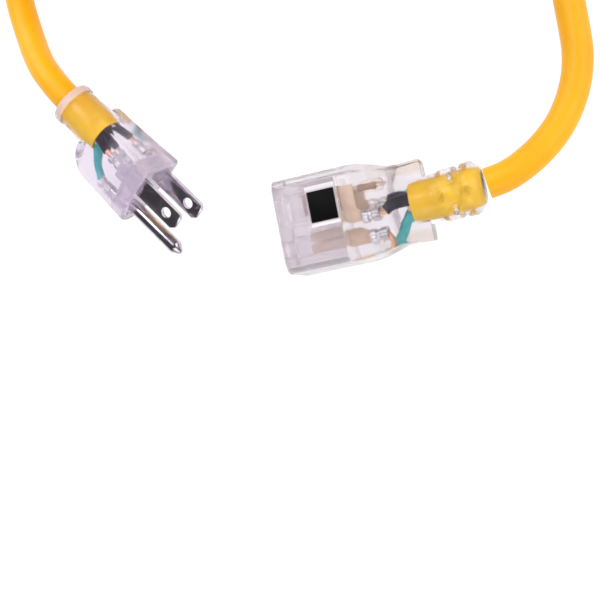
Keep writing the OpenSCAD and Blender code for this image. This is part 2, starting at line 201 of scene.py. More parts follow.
def joined(name, objects):
    """One object of several, for a piece made of separate solids."""
    bm = bmesh.new()
    for obj in objects:
        bm.from_mesh(obj.data)
        bpy.data.objects.remove(obj)
    mesh = bpy.data.meshes.new(name)
    bm.to_mesh(mesh)
    bm.free()
    whole = bpy.data.objects.new(name, mesh)
    bpy.context.scene.collection.objects.link(whole)
    mesh.shade_smooth()
    mesh.set_sharp_from_angle(angle=math.radians(SHARP))
    return whole


def ring_faces(rings, sides, closed=False):
    """Faces of a tube of rings of points, with its ends capped or joined to each other."""
    faces = []
    for i in range(rings if closed else rings - 1):
        a, b = i * sides, (i + 1) % rings * sides
        for k in range(sides):
            n = (k + 1) % sides
            faces.append((a + k, a + n, b + n, b + k))
    if not closed:
        faces.append(tuple(range(sides - 1, -1, -1)))
        faces.append(tuple((rings - 1) * sides + k for k in range(sides)))
    return faces


def loft(name, rings, place=None, sharp=SHARP):
    """A solid whose skin runs through rings of points, each of the same count."""
    points = [p for ring in rings for p in ring]
    return mesh_piece(name, points, ring_faces(len(rings), len(rings[0])), place, sharp)


def turned(name, profile, sides, sharp=SHARP):
    """A solid turned about the X axis from (x, radius) points."""
    rings = [
        [(x, r * math.cos(TAU * k / sides), r * math.sin(TAU * k / sides)) for k in range(sides)]
        for x, r in profile
    ]
    return loft(name, rings, sharp=sharp)


def box(name, low, high, bevel=0.0, segments=2):
    """A block with rounded edges, between two corners."""
    ends = list(zip(low, high))
    points = [(x, y, z) for x in ends[0] for y in ends[1] for z in ends[2]]
    faces = [(0, 1, 3, 2), (4, 6, 7, 5), (0, 4, 5, 1), (2, 3, 7, 6), (0, 2, 6, 4), (1, 5, 7, 3)]
    block = mesh_piece(name, points, faces)
    if bevel:
        bevelled(block, bevel, segments)
    return block


def plate(name, outline, low, high, bevel=0.0):
    """A flat outline with thickness along Z."""
    sheet = loft(name, [[(x, y, z) for x, y in outline] for z in (low, high)])
    if bevel:
        bevelled(sheet, bevel)
    return sheet


def smooth_route(points, step):
    """Evenly spaced points on a smooth curve through the points given."""
    given = [Vector(p) for p in points]
    given = [2 * given[0] - given[1]] + given + [2 * given[-1] - given[-2]]
    fine = []
    for a, b, c, d in zip(given, given[1:], given[2:], given[3:]):
        parts = max(4, math.ceil((c - b).length / step) * 4)
        for k in range(parts):
            t = k / parts
            fine.append(0.5 * (
                2 * b + (c - a) * t + (2 * a - 5 * b + 4 * c - d) * t * t
                + (3 * b - a - 3 * c + d) * t ** 3
            ))
    fine.append(given[-2])
    along = [0.0]
    for a, b in zip(fine, fine[1:]):
        along.append(along[-1] + (b - a).length)
    count = max(2, round(along[-1] / step))
    even, i = [], 0
    for k in range(count + 1):
        want = along[-1] * k / count
        while i < len(fine) - 2 and along[i + 1] < want:
            i += 1
        share = (want - along[i]) / max(along[i + 1] - along[i], 1e-12)
        even.append(fine[i].lerp(fine[i + 1], share))
    return even


def tube(name, route, radius, sides, place=None):
    """A round rod along a route; the radius is a number, or a function of distance and angle."""
    size = radius if callable(radius) else (lambda s, a: radius)
    across, rings, s = None, [], 0.0
    for i, p in enumerate(route):
        ahead = (route[min(i + 1, len(route) - 1)] - route[max(i - 1, 0)]).normalized()
        if across is None:
            across = ahead.orthogonal()
        across = (across - ahead * across.dot(ahead)).normalized()
        up = ahead.cross(across)
        if i:
            s += (p - route[i - 1]).length
        ring = []
        for k in range(sides):
            a = TAU * k / sides
            ring.append(p + size(s, a) * (math.cos(a) * across + math.sin(a) * up))
        rings.append(ring)
    return loft(name, rings, place)


def smooth_step(t):
    """From 0 to 1 with an easy start and end."""
    t = min(1.0, max(0.0, t))
    return t * t * (3 - 2 * t)


# ---------- materials ----------

def new_material(name, **settings):
    """A material with one Principled shader, and its node tree and shader."""
    material = bpy.data.materials.new(name)
    material.use_nodes = True
    tree = material.node_tree
    shader = tree.nodes["Principled BSDF"]
    for socket, value in settings.items():
        shader.inputs[socket.replace("_", " ")].default_value = value
    return material, tree, shader


def position(tree, scale=(1, 1, 1)):
    """Object coordinates, scaled."""
    where = tree.nodes.new("ShaderNodeTexCoord")
    mapping = tree.nodes.new("ShaderNodeMapping")
    mapping.inputs["Scale"].default_value = scale
    tree.links.new(where.outputs["Object"], mapping.inputs["Vector"])
    return mapping.outputs["Vector"]


def noise(tree, vector, scale, detail, distortion=0.0):
    """Noise at a scale per metre."""
    texture = tree.nodes.new("ShaderNodeTexNoise")
    texture.inputs["Scale"].default_value = scale
    texture.inputs["Detail"].default_value = detail
    texture.inputs["Distortion"].default_value = distortion
    tree.links.new(vector, texture.inputs["Vector"])
    return texture.outputs["Fac"]


def ramp(tree, factor, stops):
    """Colour ramp from (place, colour) stops."""
    node = tree.nodes.new("ShaderNodeValToRGB")
    band = node.color_ramp
    while len(band.elements) < len(stops):
        band.elements.new(0.5)
    for element, (place, colour) in zip(band.elements, stops):
        element.position = place
        element.color = (*colour, 1)
    tree.links.new(factor, node.inputs["Fac"])
    return node.outputs["Color"]


def spread(tree, factor, low, high):
    """A factor from 0 to 1 mapped to a range."""
    node = tree.nodes.new("ShaderNodeMapRange")
    node.inputs["To Min"].default_value = low
    node.inputs["To Max"].default_value = high
    tree.links.new(factor, node.inputs["Value"])
    return node.outputs["Result"]


def bump(tree, shader, height, strength, distance):
    """Relief on a shader, from a height."""
    node = tree.nodes.new("ShaderNodeBump")
    node.inputs["Strength"].default_value = strength
    node.inputs["Distance"].default_value = distance
    tree.links.new(height, node.inputs["Height"])
    tree.links.new(node.outputs["Normal"], shader.inputs["Normal"])


# Where the clear vinyl is cloudy or tinted, in metres, and how cloudy it is there
FLANGE_HAZE, FRONT_HAZE, BLOCK_HAZE, RIM_HAZE = 0.45, 0.2, 0.08, 0.9
BLOCK_FRONT = -0.016
BLOCK_REAR = (0.018, 0.012)
PLATE_RIM = {"X": (-0.0052, 0.0057), "Y": (-0.0034, 0.0115), "Z": (0.0241, 0.02496)}
WINGS_ALONG = (0.0145, 0.05)
WINGS_ASIDE = 0.0088
PLUG_BEFORE = -0.03
PLUG_TINT = (0.885, 0.805, 0.92)
WING_TINT = (0.81, 0.72, 0.69)


def jacket_material(name, *tints):
    """Yellow vinyl, a little uneven in colour, with a fine grain."""
    material, tree, shader = new_material(
        name, Roughness=0.42, IOR=1.5, Specular_IOR_Level=0.3,
        Coat_Weight=0.08, Coat_Roughness=0.3, Sheen_Weight=0.08, Sheen_Roughness=0.45,
        Sheen_Tint=(1, 0.8, 0.55, 1),
    )
    where = position(tree)
    broad = noise(tree, where, 45, 3, 0.4)
    tint = ramp(tree, broad, list(zip((0.3, 0.55, 0.8), tints)))
    tree.links.new(tint, shader.inputs["Base Color"])
    fine = noise(tree, where, 900, 5)
    tree.links.new(spread(tree, fine, 0.36, 0.5), shader.inputs["Roughness"])
    bump(tree, shader, fine, 0.12, 0.0002)
    return material


def math_node(tree, operation, *values):
    """A math node; each value is a number or a socket."""
    node = tree.nodes.new("ShaderNodeMath")
    node.operation = operation
    for socket, value in zip(node.inputs, values):
        if isinstance(value, (int, float)):
            socket.default_value = value
        else:
            tree.links.new(value, socket)
    return node.outputs["Value"]


def inside(tree, value, low, high):
    """1 where the value lies between two numbers."""
    above = math_node(tree, "GREATER_THAN", value, low)
    below = math_node(tree, "LESS_THAN", value, high)
    return math_node(tree, "MULTIPLY", above, below)


def rising(tree, value, low, high, most):
    """0 up to low and the most from high on; low may be the larger of the two."""
    node = tree.nodes.new("ShaderNodeMapRange")
    node.inputs["From Min"].default_value = low
    node.inputs["From Max"].default_value = high
    node.inputs["To Max"].default_value = most
    tree.links.new(value, node.inputs["Value"])
    return node.outputs["Result"]


def frosted(tree, where):
    """How cloudy the clear vinyl is: most on the plug's flange and round the connector's plate,
    less on the plug's front half and over the connector's contacts."""
    along = PLUG_PLACE.to_3x3().col[0].normalized()
    dot = tree.nodes.new("ShaderNodeVectorMath")
    dot.operation = "DOT_PRODUCT"
    dot.inputs[1].default_value = along
    tree.links.new(where, dot.inputs[0])
    on_plug = dot.outputs["Value"]
    edge, grip, face = (along.dot(PLUG_PLACE @ Vector((x, 0, 0))) for x in (3.0, 22.0, PLUG_L + 1))
    flange = math_node(tree, "LESS_THAN", on_plug, edge)
    front = rising(tree, on_plug, grip, grip + 0.007, FRONT_HAZE)
    before_face = math_node(tree, "LESS_THAN", on_plug, face)
    front = math_node(tree, "MULTIPLY", front, before_face)
    axes = tree.nodes.new("ShaderNodeSeparateXYZ")
    tree.links.new(where, axes.inputs[0])
    block = rising(tree, axes.outputs["X"], *BLOCK_REAR, BLOCK_HAZE)
    behind = math_node(tree, "GREATER_THAN", axes.outputs["X"], BLOCK_FRONT)
    block = math_node(tree, "MULTIPLY", block, behind)
    bevel = inside(tree, axes.outputs["Z"], *PLATE_RIM["Z"])
    for axis in ("X", "Y"):
        across = inside(tree, axes.outputs[axis], *PLATE_RIM[axis])
        bevel = math_node(tree, "MULTIPLY", bevel, across)
    flange = math_node(tree, "MULTIPLY", flange, FLANGE_HAZE)
    bevel = math_node(tree, "MULTIPLY", bevel, RIM_HAZE)
    marked = math_node(tree, "MAXIMUM", flange, bevel)
    return math_node(tree, "MAXIMUM", marked, math_node(tree, "MAXIMUM", front, block))


def vinyl_tint(tree, where, lilac, plain, warm):
    """The vinyl's colour: bluer on the plug, warmer and darker on the connector's finger wings."""
    axes = tree.nodes.new("ShaderNodeSeparateXYZ")
    tree.links.new(where, axes.inputs[0])
    aside = math_node(tree, "ABSOLUTE", axes.outputs["Y"])
    outer = math_node(tree, "GREATER_THAN", aside, WINGS_ASIDE)
    rear = inside(tree, axes.outputs["X"], *WINGS_ALONG)
    wing = math_node(tree, "MULTIPLY", rear, outer)
    plug = math_node(tree, "LESS_THAN", axes.outputs["X"], PLUG_BEFORE)
    side = math_node(tree, "SUBTRACT", wing, plug)
    level = math_node(tree, "MULTIPLY_ADD", side, 0.5, 0.5)
    return ramp(tree, level, [(0.0, lilac), (0.5, plain), (1.0, warm)])


def clear_material(name, tint, rough, haze, ior=1.35, frost=False):
    """Clear moulded plastic: clear with a faint tint, and a little of it cloudy."""
    material, tree, shader = new_material(
        name, Base_Color=(*tint, 1), Transmission_Weight=1.0, IOR=ior, Roughness=rough,
    )
    where = position(tree)
    ripple = noise(tree, where, 260, 3, 0.3)
    bump(tree, shader, ripple, 0.1, 0.0003)
    grain = noise(tree, where, 700, 4)
    tree.links.new(spread(tree, grain, rough * 0.5, rough * 1.6), shader.inputs["Roughness"])
    cloud = noise(tree, where, 150, 4, 0.6)
    clear = spread(tree, cloud, 1 - haze * 1.5, 1 - haze * 0.5)
    if frost:
        clear = math_node(tree, "SUBTRACT", clear, frosted(tree, where))
        tints = vinyl_tint(tree, where, PLUG_TINT, tint, WING_TINT)
        tree.links.new(tints, shader.inputs["Base Color"])
    tree.links.new(clear, shader.inputs["Transmission Weight"])
    return material


def metal_material(name, light, dark, rough, metallic=1.0):
    """Metal with fine marks along X and faint tarnish."""
    material, tree, shader = new_material(name, Metallic=metallic, Roughness=rough)
    where = position(tree)
    tarnish = noise(tree, where, 220, 5, 0.5)
    tone = ramp(tree, tarnish, [(0.35, dark), (0.62, light)])
    tree.links.new(tone, shader.inputs["Base Color"])
    streaks = position(tree, (40, 900, 900))
    marks = noise(tree, streaks, 3, 6)
    tree.links.new(spread(tree, marks, rough * 0.6, rough * 1.7), shader.inputs["Roughness"])
    bump(tree, shader, marks, 0.1, 0.0001)
    return material


def insulation_material(name, light, dark, rough=0.35):
    """Plain plastic or lacquer, mottled between two tones."""
    material, tree, shader = new_material(
        name, Roughness=rough, IOR=1.5, Specular_IOR_Level=0.1,
    )
    where = position(tree)
    tone = noise(tree, where, 300, 4)
    tree.links.new(ramp(tree, tone, [(0.3, dark), (0.7, light)]), shader.inputs["Base Color"])
    grain = noise(tree, where, 2500, 3)
    bump(tree, shader, grain, 0.08, 0.0001)
    return material


def tie_material(name):
    """Woven tape, with a diagonal weave and loose fibres."""
    material, tree, shader = new_material(
        name, Roughness=0.9, Sheen_Weight=0.6, Sheen_Roughness=0.4,
    )
    waves = []
    for direction in ("X", "Y"):
        wave = tree.nodes.new("ShaderNodeTexWave")
        wave.bands_direction = direction
        wave.inputs["Scale"].default_value = 420
        wave.inputs["Distortion"].default_value = 1.2
        wave.inputs["Detail"].default_value = 2
        tree.links.new(position(tree), wave.inputs["Vector"])
        waves.append(wave.outputs["Fac"])
    weave = math_node(tree, "MULTIPLY", *waves)
    fuzz = noise(tree, position(tree), 1800, 6)
    cloth = math_node(tree, "ADD", weave, fuzz)
    tone = ramp(tree, cloth, [
        (0.3, (0.012, 0.012, 0.014)), (1.0, (0.05, 0.05, 0.055)),
    ])
    tree.links.new(tone, shader.inputs["Base Color"])
    bump(tree, shader, cloth, 0.5, 0.0004)
    return material


# name: (function, what it takes after the name)
LOOKS = {
    "yellow_jacket": (
        jacket_material, (0.90, 0.40, 0.002), (0.94, 0.455, 0.003), (0.97, 0.51, 0.006)),
    # painted light: a brighter copy of the yellow jacket, for the jacket under the clear vinyl
    "moulded_jacket": (
        jacket_material, (0.95, 0.54, 0.001), (0.97, 0.60, 0.002), (0.99, 0.66, 0.003)),
    "clear_vinyl": (clear_material, (0.875, 0.825, 0.87), 0.19, 0.04, 1.35, True),
    "carrier_plastic": (clear_material, (0.985, 0.965, 0.975), 0.18, 0.05, 1.18),
    "nickel_plate": (metal_material, (0.72, 0.68, 0.74), (0.52, 0.46, 0.56), 0.15),
    "tinned_crimp": (metal_material, (0.72, 0.72, 0.75), (0.45, 0.44, 0.48), 0.3),
    "contact_brass": (metal_material, (0.78, 0.56, 0.37), (0.62, 0.44, 0.3), 0.4, 0.2),
    "black_insulation": (insulation_material, (0.02, 0.012, 0.035), (0.006, 0.004, 0.01)),
    "neutral_insulation": (insulation_material, (0.05, 0.045, 0.09), (0.02, 0.018, 0.04)),
    "green_insulation": (insulation_material, (0.10, 0.55, 0.56), (0.05, 0.42, 0.45)),
    "copper": (metal_material, (0.93, 0.62, 0.45), (0.8, 0.48, 0.33), 0.3),
    "filler": (insulation_material, (0.85, 0.8, 0.7), (0.7, 0.64, 0.52), 0.8),
    "lamp_glass": (clear_material, (1.0, 0.9, 0.82), 0.05, 0.05),
    "resistor_body": (insulation_material, (0.42, 0.28, 0.18), (0.3, 0.18, 0.11), 0.5),
    "lead_wire": (metal_material, (0.85, 0.72, 0.68), (0.68, 0.56, 0.5), 0.35, 0.5),
    "black_plate": (insulation_material, (0.004, 0.004, 0.004), (0.002, 0.002, 0.002), 0.5),
    "tie_fabric": (tie_material,),
}
MATERIALS = {name: make(name, *rest) for name, (make, *rest) in LOOKS.items()}


def settle(obj, slot, body, *nodes, place=None):
    """Puts a piece in its place and gives it its slot, the material of that name, its body and
    the CAD nodes that it replaces."""
    if place is not None:
        obj.data.transform(place)
    obj.data.materials.clear()
    obj.data.materials.append(MATERIALS[slot])
    if body:
        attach(obj, body)
    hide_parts(*nodes)
    return obj


# ---------- cord ----------

def pinch(angle):
    """How near the tie draws the turns to each other, as a share of their spacing."""
    away = abs((math.degrees(angle) % 360) - TIE_AT)
    return 1 - PINCH * smooth_step((24 - away) / 14)


def coil_route():
    """The turns: three across and six high, stepping in, out or up once a turn."""
    step_at, offset, last = [], -STEP_ANGLE, COIL_STEPS[0]
    for k, kind in enumerate(COIL_STEPS, 1):
        if kind != last:
            offset -= STEP_ANGLE
            last = kind
        step_at.append((360 * k + offset, kind))
    step_at[-1] = (360 * TURNS - STEP_ANGLE, "out")
    middle = COIL_LAYERS / 2 * CORD_D
    route = []
    for i in range(round(TURNS * 360 / TURN_STEP) + 1):
        travelled = i * TURN_STEP
        across, height = 1.0, 0.5
        for at, kind in step_at:
            done = min(1, max(0, (travelled - at) / STEP_ANGLE))
            share = (1 - math.cos(math.pi * done)) / 2
            if kind == "up":
                height += share
            else:
                across += share if kind == "out" else -share
        angle = math.radians(180 - travelled)
        squeeze = pinch(angle)
        r = COIL_R + across * CORD_D * squeeze
        z = middle + (height * CORD_D - middle) * squeeze
        route.append(COIL_CENTRE + Vector((r * math.cos(angle), r * math.sin(angle), z)))
    return route


def drop_route():
    """The last half turn, down the outside of the coil, from its top to the floor."""
    r = OUTER_R + CORD_D
    route = []
    for i in range(DROP_STEPS + 1):
        f = 1 - i / DROP_STEPS
        angle = math.pi * f
        z = CORD_R + (COIL_LAYERS - 1) * CORD_D * smooth_step(f)
        route.append(COIL_CENTRE + Vector((r * math.cos(angle), r * math.sin(angle), z)))
    return route


def jacket_radius(s, a):
    """The jacket's radius, with the faint swell of the three twisted wires under it."""
    lay = 0.075
    return CORD_R * (0.996 + 0.009 * math.cos(3 * (a - TAU * s / lay)))


def met(route, way):
    """A route whose end is square to the cord that it meets, and touches it all round."""
    end = route[-1]
    return route[:-1] + [end - 0.0008 * way, end + 0.00002 * way]


def from_exit(points, leaves):
    """A smooth route through the points, from where the cord leaves a moulding."""
    route = smooth_route(points, ROUTE_STEP)
    start = min(range(len(route)), key=lambda i: (route[i] - leaves).length)
    return route[start:]


def make_cords():
    """The whole cord, in two pieces that meet on the outside of the coil."""
    inside_plug, plug_exit = (PLUG_PLACE @ Vector((x, 0, 0)) for x in (6, 0.4))
    coil = coil_route()
    lead = from_exit([inside_plug, plug_exit] + PLUG_ROUTE + [coil[0]], plug_exit)
    whole = met(lead + coil[1:], Vector((0, 1, 0)))
    plug_cord = tube("plug_cord", whole, jacket_radius, 20)
    settle(plug_cord, "yellow_jacket", None, "plug_lead", "cord_coil")
    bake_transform(plug_cord)

    back, face = (CONNECTOR_PLACE @ Vector(bent((x, 0, 0))) for x in (56, 62.3))
    run = met(from_exit([back, face] + CONNECTOR_ROUTE[1:] + drop_route()[::-1], face),
              Vector((0, -1, 0)))
    connector_cord = tube("connector_cord", run, jacket_radius, 20)
    settle(connector_cord, "yellow_jacket", None, "connector_lead")
    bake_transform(connector_cord)
    return plug_cord, whole, connector_cord, run


def bent(p):
    """The connector's strain relief leans a little towards the blade side, as the cord pulls it."""
    lean = max(0.0, p[0] - 46) / 16.5
    return (p[0], p[1] + 0.7 * lean * lean, p[2])


def strap_outline(edge, crown):
    """(across, thickness) of a strap with thin edges, as shares of its width and thickness."""
    top = [(-0.5, 0.5), (-edge, 1), (0, crown), (edge, 1), (0.5, 0.5)]
    return top + [(edge, 0), (0, 0), (-edge, 0)]


def make_tie():
    """A strap round the bundle, with its end lapped over the top."""
    corner, lap = 0.0044, 0.020
    wide = CORD_D * (1 - PINCH) + CORD_R
    high = (COIL_LAYERS - 1) / 2 * CORD_D * (1 - PINCH) + CORD_R
    centre = COIL_CENTRE + Vector((0, -COIL_R, COIL_LAYERS / 2 * CORD_D))
    rings = []
    for cy, cz, first in ((1, 1, 0), (-1, 1, 90), (-1, -1, 180), (1, -1, 270)):
        for k in range(7):
            a = math.radians(first + 15 * k)
            ring = []
            for u, grow in strap_outline(0.47, 1):
                r = corner + grow * TIE_T
                y = cy * (wide - corner) + r * math.cos(a)
                z = cz * (high - corner) + r * math.sin(a)
                ring.append(centre + Vector((u * TIE_W, y, z)))
            rings.append(ring)
    points = [p for ring in rings for p in ring]
    faces = ring_faces(len(rings), len(rings[0]), closed=True)
    loop = mesh_piece("loop", points, faces, sharp=50)
    top = centre.z + high + TIE_T
    rings = []
    for k in range(15):
        t = k / 14
        lift = -0.0001 + 0.0006 * smooth_step((t - 0.75) / 0.25)
        taper = 0.96 - 0.12 * smooth_step((t - 0.88) / 0.12)
        y = centre.y - lap / 2 + lap * t
        rings.append([
            (centre.x + u * TIE_W * taper, y, top + lift + 0.0011 * z)
            for u, z in strap_outline(0.46, 1.05)
        ])
    flap = loft("flap", rings, sharp=50)
    return settle(joined("cord_tie", [loop, flap]), "tie_fabric", "cord", "coil_tie")


# ---------- pieces that both ends have ----------

def make_crimp(name, x, y, z, place, body, node):
    """A rolled barrel with flared mouths, two pressed dents and a seam."""
    r = CRIMP_D / 2
    bore = CONDUCTOR_R + 0.05
    profile = [
        (0, bore), (0, r - 0.15), (0.35, r), (0.9, r - 0.1), (1.5, r - 0.12), (1.9, r - 0.55),
        (2.5, r - 0.6), (2.9, r - 0.12), (3.6, r - 0.1), (4.5, r - 0.02), (4.85, r - 0.05),
        (CRIMP_L, r - 0.3), (CRIMP_L, bore),
    ]
    sides = 40
    rings = []
    for along, radius in profile:
        ring = []
        for k in range(sides):
            a = TAU * k / sides
            seam = 0.28 * math.exp(-((a - math.pi / 2) / 0.16) ** 2)
            size = radius - (seam if radius > bore + 0.2 else 0)
            ring.append((x + along, y + size * math.cos(a), z + size * math.sin(a)))
        rings.append(ring)
    points = [p for ring in rings for p in ring]
    crimp = mesh_piece(name, points, ring_faces(len(rings), sides, closed=True), place)
    return settle(crimp, "tinned_crimp", body, node)


def make_wire(name, route, place, body, slot, node):
    """Insulation with a clean cut at its end."""
    line = smooth_route(route, 0.4)
    long = sum((b - a).length for a, b in zip(line, line[1:]))

    def radius(s, _):
        return WIRE_R * (1 - 0.06 * smooth_step((s - long + 0.4) / 0.4))

    return settle(tube(name, line, radius, 20, place), slot, body, node)


def make_conductor(name, route, place, body, node):
    """Bare strands twisted round a middle one."""
    line = smooth_route(route, 0.35)
    strand_r = CONDUCTOR_R / 3
    parts = [tube("strand", line, strand_r, 8)]
    for n in range(STRANDS):
        across, path, s = None, [], 0.0
        for i, p in enumerate(line):
            ahead = (line[min(i + 1, len(line) - 1)] - line[max(i - 1, 0)]).normalized()
            across = ahead.orthogonal() if across is None else across
            across = (across - ahead * across.dot(ahead)).normalized()
            s += (p - line[i - 1]).length if i else 0
            a = TAU * (n / STRANDS + s / 9)
            out = math.cos(a) * across + math.sin(a) * ahead.cross(across)
            path.append(p + 2 * strand_r * out)
        parts.append(tube("strand", path, strand_r, 8))
    conductor = joined(name, parts)
    return settle(conductor, "copper", body, node, place=place)


def make_fillers(name, start, end, place, body, node):
    """Three soft strands between the wires, each twisted from two plies."""
    parts = []
    for y, z in ((3.0, 0), (-1.6, 2.55), (-1.6, -2.55)):
        for ply in (0, math.pi):
            path = []
            for k in range(41):
                x = start + (end - start) * k / 40
                a = ply + TAU * k / 12
                path.append(Vector((x, y + 0.28 * math.cos(a), z + 0.28 * math.sin(a))))
            parts.append(tube("ply", path, 0.42, 8))
    fillers = joined(name, parts)
    return settle(fillers, "filler", body, node, place=place)


def make_jacket_end(name, start, end, place, body, node, shape=None):
    """The jacket inside a moulding, hollow, with its cut end at the start or the end."""
    sides = 40
    rings = []
    stations = [start + (end - start) * k / 16 for k in range(17)]
    for radius, order in ((JACKET_R, stations), (JACKET_BORE_R, stations[::-1])):
        for x in order:
            swell = 0.03 * (radius == JACKET_R)
            ring = []
            for k in range(sides):
                a = TAU * k / sides
                r = radius + swell * math.cos(3 * a + x / 3)
                p = (x, r * math.cos(a), r * math.sin(a))
                ring.append(shape(p) if shape else p)
            rings.append(ring)
    points = [p for ring in rings for p in ring]
    jacket = mesh_piece(name, points, ring_faces(len(rings), sides, closed=True), place)
    settle(jacket, "yellow_jacket", body, node)
    # A brighter copy of the yellow jacket in the same slot: painted light under the clear vinyl,
    # making up for the light that the vinyl keeps off it
    jacket.data.materials[0] = MATERIALS["moulded_jacket"]
    return jacket


def make_core(name, node, path, bare_from, at, place, body, slot):
    """One wire of the cord: its insulation, its strands and its crimp."""
    return [
        make_wire(f"{name}_lead", path[:bare_from], place, body, slot, f"{node}_wire"),
        make_conductor(f"{name}_strands", path, place, body, f"{node}_conductor"),
        make_crimp(f"{name}_barrel", CRIMP_X, *at, place, body, f"{node}_crimp"),
    ]


# ---------- plug ----------

def between(x, table):
    """The value at x of a table of (x, value) points, with straight lines between."""
    for (x0, v0), (x1, v1) in zip(table, table[1:]):
        if x <= x1:
            return v0 + (v1 - v0) * max(0.0, (x - x0) / max(x1 - x0, 1e-9))
    return table[-1][1]


def arc(cy, cz, r, first, last, steps):
    """Points on an arc between two angles in degrees."""
    return [
        (cy + r * math.cos(math.radians(first + (last - first) * k / steps)),
         cz + r * math.sin(math.radians(first + (last - first) * k / steps)))
        for k in range(steps + 1)
    ]


def plug_section(inset=0.0):
    """The plug's shield-shaped section: flat on the blade side, round on the ground side."""
    half, top, low, r = 10 - inset, 7 - inset, -9.7, 8 - inset
    side = arc(top - 1.2, half - 1.2, 1.2, 0, 90, 4)
    side += [(2.5, half - 0.02), (-0.5, half - 0.12), (-3, half - 0.45)]
    side += arc(low, 0, r, 78, 180, 12)
    return side + [(y, -z) for y, z in side[-2::-1]]


def make_plug_body():
    """The moulded plug: a shield-shaped grip with a round, flanged neck."""
    section = plug_section()
    half_at = [(12, 6.4), (12.35, 7.0), (13, 7.3), (20, 7.8), (26, 8.3), (33, 9.05), (38.2, 9.85),
               (39.1, 9.8), (39.5, 9.45)]
    top_at = [(12, 6.1), (12.4, 6.7), (13, 7), (38.9, 7), (39.2, 6.85), (39.5, 6.45)]
    bottom_at = [(12, 8.2)]
    bottom_at += [(19.5 - 7 * math.cos(math.radians(a)), 10.2 + 7 * math.sin(math.radians(a)))
                  for a in range(0, 91, 10)]
    bottom_at += [(27, 17.4), (38.8, 17.7), (39.2, 17.55), (39.5, 17.2)]
    stations = [12, 12.15, 12.35, 12.6, 13, 13.5, 14, 14.6, 15.3, 16.2, 17.2, 18.3, 19.5, 22, 24,
                26, 29, 32, 35, 37, 38.2, 38.8, 39.1, 39.3, 39.5]
    rings = []
    for x in stations:
        half, top, bottom = between(x, half_at), between(x, top_at), between(x, bottom_at)
        rings.append([
            (x, y * top / 7 if y > 0 else y * bottom / 17.7, z * half / 10) for y, z in section
        ])
    body = loft("plug_moulding", rings, sharp=50)
    neck = turned("neck", [
        (0, 5.4), (0, 6.6), (0.3, 7.2), (0.9, 7.5), (2.4, 7.5), (3.0, 7.35), (3.5, 7.1),
        (4.2, 6.95), (8, 7.05), (11, 7.35), (14, 7.65), (17, 7.5), (19, 6.0), (19.5, 1),
    ], 56, sharp=50)
    combine(body, [neck], "UNION", 50)
    pocket = loft("pocket", [[(x, y, z) for y, z in plug_section(1.9)] for x in (33.4, 41)])
    combine(body, [pocket], "DIFFERENCE", 50)
    return settle(body, "clear_vinyl", "plug", "plug_body", place=PLUG_PLACE)


def make_plug_carrier():
    """The moulded plate that holds the blades and the pin at the face."""
    section = plug_section(2.0)
    share_at = ((33.5, 0.94), (33.8, 0.99), (34.2, 1), (38.9, 1), (39.3, 0.985), (39.5, 0.95))
    rings = [[(x, y * share, z * share) for y, z in section] for x, share in share_at]
    carrier = loft("plug_carrier", rings, sharp=50)
    return settle(carrier, "carrier_plastic", "plug", "plug_insert", place=PLUG_PLACE)


def make_blade(name, side, node):
    """A blade with rolled edges, a chamfered tip, a hole, and a tail bent in to the crimp."""
    tip = PLUG_L + BLADE_L
    mid = side * BLADE_SPACING / 2
    half_w, half_t = BLADE_W / 2, BLADE_T / 2
    outline = [(30, -half_w), (tip - 1.5, -half_w), (tip, -half_w + 1.3), (tip, half_w - 1.3),
               (tip - 1.5, half_w), (30, half_w)]
    blade = plate("blade", outline, mid - half_t, mid + half_t)
    cutters = []
    for face in (-1, 1):
        wedge = box("wedge", (-3, -5, 0), (3, 5, 2))
        lean = Matrix.Rotation(math.radians(24 * face), 4, "Y")
        flip = Matrix.Identity(4) if face > 0 else Matrix.Scale(-1, 4, (0, 0, 1))
        at = Matrix.Translation((tip + 0.1, 0, mid + face * 0.36))
        wedge.data.transform(at @ lean @ flip)
        clean(wedge)
        cutters.append(wedge)
    combine(blade, cutters, "DIFFERENCE", 30)
    hole = turned("hole", [(-3, BLADE_HOLE_R), (3, BLADE_HOLE_R)], 48)
    at = Matrix.Translation((tip - BLADE_HOLE_FROM_TIP, 0, mid))
    hole.data.transform(at @ Matrix.Rotation(math.pi / 2, 4, "Y"))
    combine(blade, [hole], "DIFFERENCE", 30)
    bevelled(blade, 0.13, 2, 30)
    low, high = sorted((side * 4.2, side * 6.6))
    tail = box("tail", (30, -1.9, low), (30.9, 1.9, high), bevel=0.15)
    piece = joined(name, [blade, tail])
    return settle(piece, "nickel_plate", "plug", node, place=PLUG_PLACE)


def make_ground_pin():
    """A turned pin whose tip narrows to a small flat."""
    r = PIN_R
    tip = PLUG_L + PIN_L
    profile = [(30, r - 0.25), (30.25, r), (31, r), (31.2, r - 0.3), (31.8, r - 0.3), (32, r),
               (tip - 3.2, r), (tip - 2.7, r - 0.06), (tip - 2.2, r - 0.28), (tip - 1.0, r - 1.05),
               (tip - 0.5, r - 1.4), (tip - 0.15, r - 1.65), (tip, r - 1.95)]
    pin = turned("ground_prong", profile, 64, sharp=30)
    at = PLUG_PLACE @ Matrix.Translation((0, PIN_Y, 0))
    return settle(pin, "nickel_plate", "plug", "plug_ground_pin", place=at)


def plug_path(at):
    """Where a wire runs in the plug, from the cord to its crimp."""
    start = [(0.5, *at), (12, *at), (16.5, *at)]
    if at == GROUND:
        return start + [(19, -4.2, 0.2), (21.5, -8.4, 0.3), (25, -11.7, 0), (29.5, PIN_Y, 0)]
    z = math.copysign(4.6, at[1])
    return start + [(19.5, 0.5, z * 0.72), (22.8, 0.1, z * 0.97), (25, 0, z), (29.5, 0, z)]


